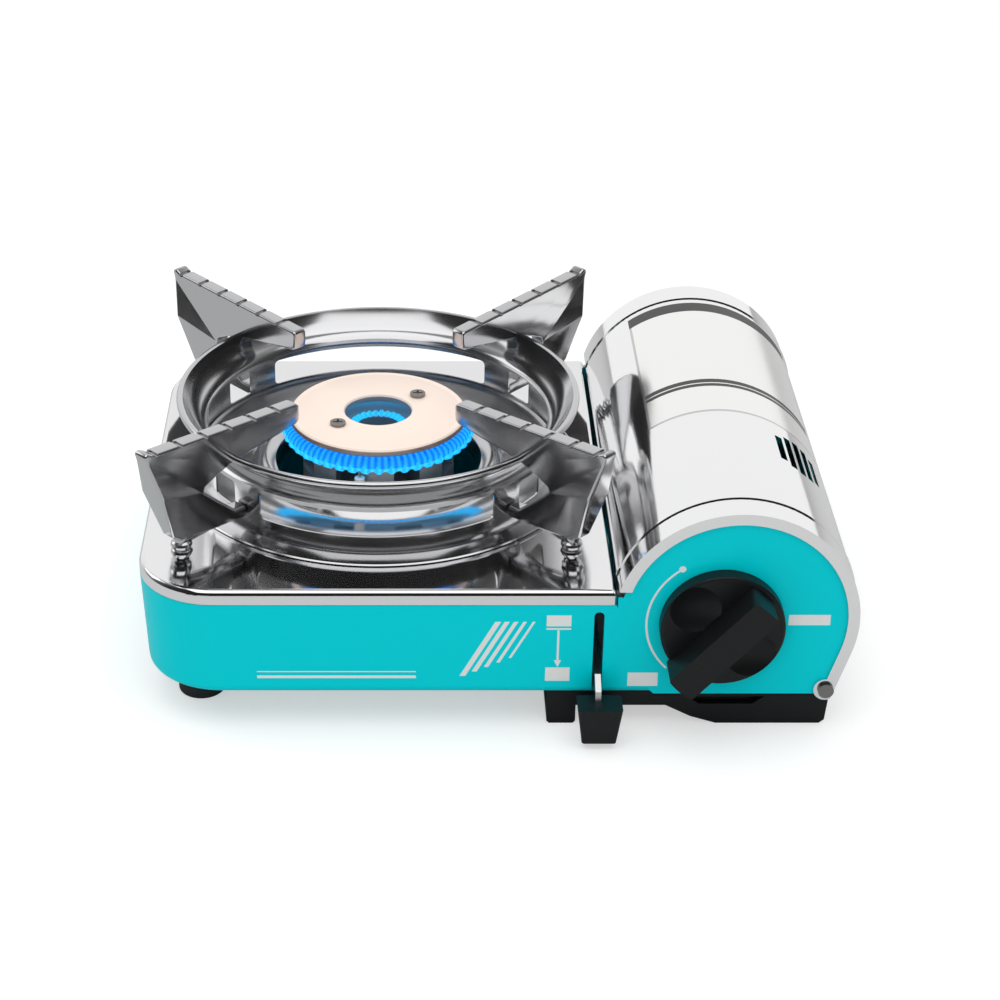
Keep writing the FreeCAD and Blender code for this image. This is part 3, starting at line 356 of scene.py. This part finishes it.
def choose(piece, kind, test):
    """Selects the corners or faces whose middle passes the test."""
    bpy.ops.mesh.select_mode(type=kind)
    bpy.ops.mesh.select_all(action="DESELECT")
    mesh = bmesh.from_edit_mesh(piece.data)
    for element in {"VERT": mesh.verts, "FACE": mesh.faces}[kind]:
        corners = [element] if kind == "VERT" else element.verts
        middle = sum((corner.co for corner in corners), Vector()) / len(corners)
        if test(middle, element):
            element.select_set(True)
    mesh.select_flush_mode()
    bmesh.update_edit_mesh(piece.data)


def draw(name, points, closed=False):
    """A wire from point to point, left open in edit mode."""
    piece = bare("plane", name, size=0.001, location=points[0])
    edit(piece)
    bpy.ops.mesh.select_mode(type="VERT")
    bpy.ops.mesh.select_all(action="SELECT")
    bpy.ops.mesh.merge(type="CENTER")
    route = points + [points[0]] if closed else points
    for here, there in zip(route, route[1:]):
        bpy.ops.mesh.extrude_vertices_move(TRANSFORM_OT_translate={"value": there - here})
    bpy.ops.mesh.select_all(action="SELECT")
    bpy.ops.mesh.remove_doubles(threshold=weld)
    return piece


def ring_wire(name, outline):
    """A wire beside the burner's axis, by its distance from the axis and its height."""
    return draw(name, [spot(burner_x + r, 0, z) for r, z in outline])


def spin(steps, middle=centre):
    """Spins the wire just drawn about the upright line through middle."""
    bpy.ops.mesh.select_all(action="SELECT")
    bpy.ops.mesh.spin(steps=steps, angle=math.tau, center=(middle.x, middle.y, 0), axis=(0, 0, 1))
    bpy.ops.mesh.select_all(action="SELECT")
    bpy.ops.mesh.remove_doubles(threshold=weld)
    bpy.ops.mesh.normals_make_consistent(inside=False)


def fit(piece, kind, **settings):
    """Adds one modifier and applies it at once."""
    edit(piece)
    bpy.ops.object.mode_set(mode="OBJECT")
    made = piece.modifiers.new(kind.lower(), kind)
    for key, value in settings.items():
        setattr(made, key, value)
    bpy.ops.object.modifier_apply(modifier=made.name)


def settle(piece, finish, slot, body, *nodes, smooth=32):
    """Finishes a piece: smooth shading up to an angle, its finish, body and replaced nodes; the slot
    argument is not used.
    """
    edit(piece)
    bpy.ops.object.mode_set(mode="OBJECT")
    bpy.ops.object.shade_smooth_by_angle(angle=math.radians(smooth))
    piece.data.materials.clear()
    piece.data.materials.append(finish)
    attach(piece, body)
    if nodes:
        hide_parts(*nodes)


# Bowl: spun from one disc, with a curled rim, a pressed waist and a flat foot flange;
# two long slots and four short windows are punched through its wall.
sheet_t = 0.0007
curl_r, curl_mid_r, curl_mid_z = 1.15, 79.0, 93.7
curl = [(curl_mid_r + curl_r * math.cos(math.radians(a)), curl_mid_z + curl_r * math.sin(math.radians(a)))
        for a in range(130, -200, -30)]
bowl_steel, shader, place = new_finish("bowl_steel", (0.62, 0.62, 0.63), 1.0, Roughness=0.16)
haze = place.noise(40.0, 4.0)
feed(shader, "Roughness", 0.12 + haze * 0.08)
bowl_line = [(82.1, 61.3), (81.8, 60.85), (81.2, 60.75), (74.9, 60.75), (73.8, 61.2), (73.45, 62.2),
             (73.45, 68.6), (73.45, 79.4), (73.3, 80.9), (72.0, 82.2), (70.0, 83.1), (68.8, 84.0),
             (68.5, 85.2), (69.2, 86.2), (71.5, 87.2), (73.4, 88.1), (76.3, 91.4)]
bowl = ring_wire("bowl_shell", bowl_line + curl)
spin(240)
slot_low, slot_high, slot_corner = 0.0686, 0.0794, 0.0018
slot_from, slot_to = 52.5, 127.5
window_from, window_to = 31.5, 42


def in_slot(middle, face):
    away = middle - centre
    turn = math.degrees(math.atan2(away.y, away.x)) % 180
    long_slot = slot_from < turn < slot_to
    window = window_from < min(turn, 180 - turn) < window_to
    return slot_low < middle.z < slot_high and (long_slot or window)


choose(bowl, "FACE", in_slot)
bpy.ops.mesh.delete(type="FACE")
choose(bowl, "VERT", lambda middle, corner: corner.is_boundary and len(corner.link_faces) == 3)
bpy.ops.mesh.bevel(offset=slot_corner, segments=3, affect="VERTICES")
fit(bowl, "SOLIDIFY", thickness=sheet_t, offset=0.0)
settle(bowl, bowl_steel, "mirror_steel", "pan_support", "bowl")


# Drip pan: a second spun disc, held inside the bowl's wall.
# It is dished towards a valley and a raised collar round the burner.
pan_line = [(72.7, 67.7), (72.0, 67.2), (70.4, 66.1), (62.0, 64.3), (52.6, 62.45), (50.6, 62.9),
            (48.9, 64.9), (46.6, 66.2), (44.2, 66.1), (42.0, 64.6), (40.7, 61.6), (40.55, 58.4)]
pan = ring_wire("drip_pan_dish", pan_line)
spin(160)
fit(pan, "SOLIDIFY", thickness=sheet_t, offset=0.0)
settle(pan, bowl_steel, "mirror_steel", "pan_support", "drip_pan")


# Pan support arms: four alike, each folded from one sheet over a notched top edge, with a
# creased lower side that leans out to its back, a rolled hem below and a turned foot.
folded_steel, shader, place = new_finish("folded_steel", (0.56, 0.56, 0.57), 1.0, Roughness=0.14)
feed(shader, "Roughness", 0.09 + place.noise(120.0, 4.0) * 0.1)
emboss(shader, place.noise(1800.0, 2.0), 0.000003, 0.3)


def arm_at(r, z, y=0.0):
    """A place on the arm that points to +X: distance from the burner's axis, height and side."""
    return spot(burner_x + r, y, z)


sharp_turn = math.radians(50)
crease_deg = 13
half_w = 3.25
fold_r = 0.0013
knee_flare = 1.95
knee_reach = 0.0015
top_end, tip, knee_edge, crease_end = (118.0, 109.9), (121.4, 107.2), (117.4, 91.5), (79.5, 72.2)
arm_line = [(46.3, 105.7), top_end, (120.6, 111.3), (122.3, 110.2), tip, knee_edge, (110.8, 72.0),
            (107.4, 69.6), (101.6, 69.0), (92.2, 68.0), (74.2, 67.2), (74.2, 72.0), crease_end,
            (88.0, 79.6), (94.6, 85.6), (94.0, 87.4), (88.0, 90.0), (80.6, 92.6), (63.4, 95.0),
            (47.0, 97.3), (45.7, 98.4), (45.4, 101.0), (45.5, 104.6)]
arm = draw("pan_arm_first", [arm_at(r, z, -half_w) for r, z in arm_line], True)
bpy.ops.mesh.select_all(action="SELECT")
bpy.ops.mesh.edge_face_add()
bpy.ops.mesh.extrude_region_move(TRANSFORM_OT_translate={"value": (0, 2 * half_w / 1000, 0)})
bpy.ops.mesh.select_all(action="SELECT")
bpy.ops.mesh.normals_make_consistent(inside=False)
fit(arm, "BEVEL", width=fold_r, segments=8, limit_method="ANGLE", angle_limit=sharp_turn)
edit(arm)
bpy.ops.mesh.select_all(action="SELECT")
crease_way = (arm_at(*crease_end) - arm_at(*tip)).normalized()
bpy.ops.mesh.bisect(plane_co=arm_at(*tip), plane_no=crease_way.cross(Vector((0, 1, 0))))
knee = arm_at(*knee_edge)


def at_knee(middle, corner):
    return (Vector((middle.x, 0, middle.z)) - Vector((knee.x, 0, knee.z))).length < knee_reach


choose(arm, "VERT", at_knee)
bpy.ops.transform.resize(value=(1, knee_flare, 1), center_override=tuple(centre))
bpy.ops.mesh.select_all(action="SELECT")
bpy.ops.mesh.select_mode(type="FACE")
bpy.ops.mesh.quads_convert_to_tris(quad_method="BEAUTY", ngon_method="BEAUTY")
bpy.ops.mesh.tris_convert_to_quads()

notch_size = (0.0022, 0.0085, 0.0030)
notch_round = 0.0004
notch_count, notch_first, notch_pitch = 6, 116.9, 12.1
top_slope, notch_lift = 0.0586, 0.35
notch_lean = math.radians(-3.4)
notch = bare("cube", "notch", size=1.0, location=(0, 0, 0))
notch.scale = notch_size
bpy.ops.object.transform_apply(scale=True)
edit(notch)
bpy.ops.mesh.select_all(action="SELECT")
bpy.ops.mesh.bevel(offset=notch_round, segments=2, affect="EDGES")
bpy.ops.object.mode_set(mode="OBJECT")
for step in range(notch_count):
    r = notch_first - step * notch_pitch
    cutter = notch.copy()
    cutter.data = notch.data.copy()
    bpy.context.scene.collection.objects.link(cutter)
    cutter.location = arm_at(r, top_end[1] + (r - top_end[0]) * top_slope + notch_lift)
    cutter.rotation_euler = (0, notch_lean, 0)
    fit(arm, "BOOLEAN", operation="DIFFERENCE", object=cutter, solver="EXACT")
    bpy.data.objects.remove(cutter)
bpy.data.objects.remove(notch)

foot_r = 104.5
foot_line = [(0.0, 60.45), (2.4, 60.45), (2.9, 60.9), (3.0, 61.8), (3.9, 62.1), (4.25, 63.1), (3.9, 64.1),
             (3.1, 64.6), (3.9, 65.2), (4.2, 66.2), (3.9, 67.2), (3.0, 67.8), (2.9, 69.2), (2.3, 70.6),
             (0.0, 71.0)]
foot = draw("arm_foot", [arm_at(foot_r + r, z) for r, z in foot_line])
spin(24, arm_at(foot_r, 0))
bpy.ops.object.mode_set(mode="OBJECT")
hem_r, hem_round = 0.0018, 0.0006
hem_lean = math.radians(-85.6)
hem_from = arm_at(103.0, 67.4)
hem_to = arm_at(74.4, 69.6)
hem = bare("cylinder", "arm_hem", radius=hem_r, depth=(hem_from - hem_to).length, vertices=20,
           location=(hem_from + hem_to) / 2, rotation=(0, hem_lean, 0))
fit(hem, "BEVEL", width=hem_round, segments=3, limit_method="ANGLE", angle_limit=sharp_turn)
for index, name in enumerate(("right_rear", "left_rear", "left_front", "right_front")):
    copies = []
    for source, label in ((arm, "pan_arm_sheet_"), (foot, "pan_arm_foot_"), (hem, "pan_arm_hem_")):
        made = source.copy()
        made.data = source.data.copy()
        made.name = label + name
        bpy.context.scene.collection.objects.link(made)
        edit(made)
        bpy.ops.mesh.select_all(action="SELECT")
        bpy.ops.transform.rotate(value=-math.radians(45 + 90 * index), orient_axis="Z",
                                 center_override=(centre.x, centre.y, 0))
        copies.append(made)
    settle(copies[0], folded_steel, "mirror_steel", "pan_support", "pan_arm_" + name, smooth=crease_deg)
    settle(copies[1], folded_steel, "mirror_steel", "pan_support")
    settle(copies[2], folded_steel, "mirror_steel", "pan_support")
for pattern in (arm, foot, hem):
    bpy.data.objects.remove(pattern)


# Burner head: a satin cap whose side is painted a darker brown as painted shade on its rim, and made
# metallic, held over the ring with the flame ports.
# Two rings of small blue flames burn under the cap and in its middle hole, for show only.
cap_cream = (0.97, 0.81, 0.71)
cap_shade_brown = (0.50, 0.40, 0.36, 1)
cream, shader, place = new_finish("burner_head", cap_cream, 0.0, Roughness=0.4)
# Below the cap's top face the colour turns darker brown: painted shade on the cap's side.
side = place.split()[2] < 0.0849
feed(shader, "Base Color", side.blend((*cap_cream, 1), cap_shade_brown))
feed(shader, "Metallic", side * 0.85)
feed(shader, "Roughness", 0.34 + place.noise(200.0, 3.0) * 0.12)
emboss(shader, place.noise(1500.0, 2.0), 0.00001, 0.6)
alloy, shader, place = new_finish("cast_alloy", (0.62, 0.63, 0.64), 0.9, Roughness=0.42)
feed(shader, "Roughness", 0.35 + place.noise(400.0, 4.0) * 0.2)
emboss(shader, place.noise(1200.0, 3.0), 0.00003, 0.5)
cap_line = [(13.4, 82.8), (13.4, 85.0), (13.8, 85.7), (14.4, 85.9), (15.4, 85.65), (32.4, 85.65),
            (33.0, 85.35), (33.6, 85.35), (34.2, 85.6), (34.8, 85.45), (35.5, 84.7), (35.75, 83.4),
            (35.2, 82.75), (13.4, 82.75)]
cap = ring_wire("burner_cap_top", cap_line)
spin(160)
settle(cap, cream, "burner_head", "stove", "burner_cap")

flame, shader, place = new_finish("blue_flame", (0.0, 0.0, 0.0), 0.0, Roughness=1.0, Alpha=0.8)
x, y, z = place.split()
shader.inputs["Specular IOR Level"].default_value = 0.0
streaks = 88
deep_blue, azure = (0.0, 0.12, 0.85, 1), (0.03, 0.62, 1.0, 1)
round_burner = (y - centre.y).bearing(x - centre.x) * streaks
streak = round_burner.sum("SINE", round_burner) * 0.5 + 0.5
low_part = z < 0.0787
feed(shader, "Emission Color", (streak * 0.45 + low_part * 0.5).blend(deep_blue, azure))
shader.inputs["Emission Strength"].default_value = 1.4
band_line = [(34.4, 82.3), (36.0, 82.0), (37.4, 80.6), (37.9, 78.9), (37.2, 77.2), (35.6, 76.2),
             (34.5, 76.4)]
band_steps = 176
tooth_top, tooth_drop = 0.0783, 0.0011
band = ring_wire("flame_band", band_line)
spin(band_steps)


def in_tooth(middle, corner):
    away = middle - centre
    step = round(math.degrees(math.atan2(away.y, away.x)) / 360 * band_steps)
    return step % 4 < 2 and middle.z < tooth_top


choose(band, "VERT", in_tooth)
bpy.ops.transform.translate(value=(0, 0, -tooth_drop))
bpy.ops.object.mode_set(mode="OBJECT")
bpy.ops.object.shade_smooth_by_angle(angle=math.radians(50))
band.data.materials.append(flame)
# Each ring of tongues: how many, distance from the axis, height, lean, width and height of the foot
outer_tongues = (44, 35.0, 7.6, 3.4, 3.0, 76.6)
inner_tongues = (26, 12.6, 4.5, -5.0, 2.6, 77.5)
for count, r, height, lean, wide, low in (outer_tongues, inner_tongues):
    tongue = bare("uv_sphere", "flame_tongue", segments=10, ring_count=8, radius=0.0005 * wide,
                  location=(0, 0, 0))
    edit(tongue)
    choose(tongue, "VERT", lambda middle, corner: middle.z > 0)
    bpy.ops.transform.resize(value=(0.8, 0.8, 1.0), center_override=(0, 0, 0))
    bpy.ops.object.mode_set(mode="OBJECT")
    for step in range(count):
        turn = math.tau * step / count
        made = tongue.copy()
        made.data = tongue.data.copy()
        made.name = "flame_" + str(count) + "_" + str(step)
        bpy.context.scene.collection.objects.link(made)
        made.scale = (1.5, 1.0, 0.55 * height / wide * random.uniform(0.9, 1.1))
        made.rotation_euler = (0, 0, turn)
        away = r + lean * 0.5
        made.location = spot(burner_x + away * math.cos(turn), away * math.sin(turn), low + 1.6)
        made.data.materials.append(flame)
    bpy.data.objects.remove(tongue)


# The other pieces keep the shapes of their solids: case, cover, plate, knob, lever, blocks, feet,
# screws, and the gas and igniter parts inside. They only get their finishes here.
brass = new_finish("brass", (0.78, 0.62, 0.33), 1.0, Roughness=0.3)[0]
screw = new_finish("screw_steel", (0.62, 0.62, 0.62), 1.0, Roughness=0.25)[0]
black, shader, place = new_finish("black_plastic", (0.006, 0.007, 0.008), 0.0, Roughness=0.4)
shader.inputs["Specular IOR Level"].default_value = 0.3
feed(shader, "Roughness", 0.36 + place.noise(500.0, 3.0) * 0.16)
emboss(shader, place.noise(2600.0, 2.0), 0.00003, 0.5)
rubber = new_finish("black_rubber", (0.02, 0.02, 0.02), 0.0, Roughness=0.7)[0]
china = new_finish("ceramic", (0.85, 0.84, 0.80), 0.0, Roughness=0.15)[0]
slots = {"teal_enamel": teal, "mirror_steel": steel, "zinc_sheet": zinc, "burner_head": cream,
         "cast_alloy": alloy, "brass": brass, "screw_steel": screw, "black_knob": black,
         "black_base": black, "black_rubber": rubber, "igniter_case": china, "ceramic": china,
         "lead_skin": rubber}
# The screws are painted dark grey as painted shade from the hinge screws' recesses; the cap screws share
# this finish.
shade_dark_screw, shader, place = new_finish("shade_dark_screw", (0.26, 0.25, 0.24), 1.0, Roughness=0.34)
feed(shader, "Roughness", 0.28 + place.noise(900.0, 3.0) * 0.16)
own = {"cap_screws": shade_dark_screw, "hinge_screws": shade_dark_screw, "cartridge_cover": cover_steel,
       "top_plate": plate_steel}
for part in frame["record"]["subparts"]:
    piece = bpy.data.objects[part["node"]]
    piece.data.materials.clear()
    piece.data.materials.append(own.get(part["node"], slots[part["material_slot"]]))
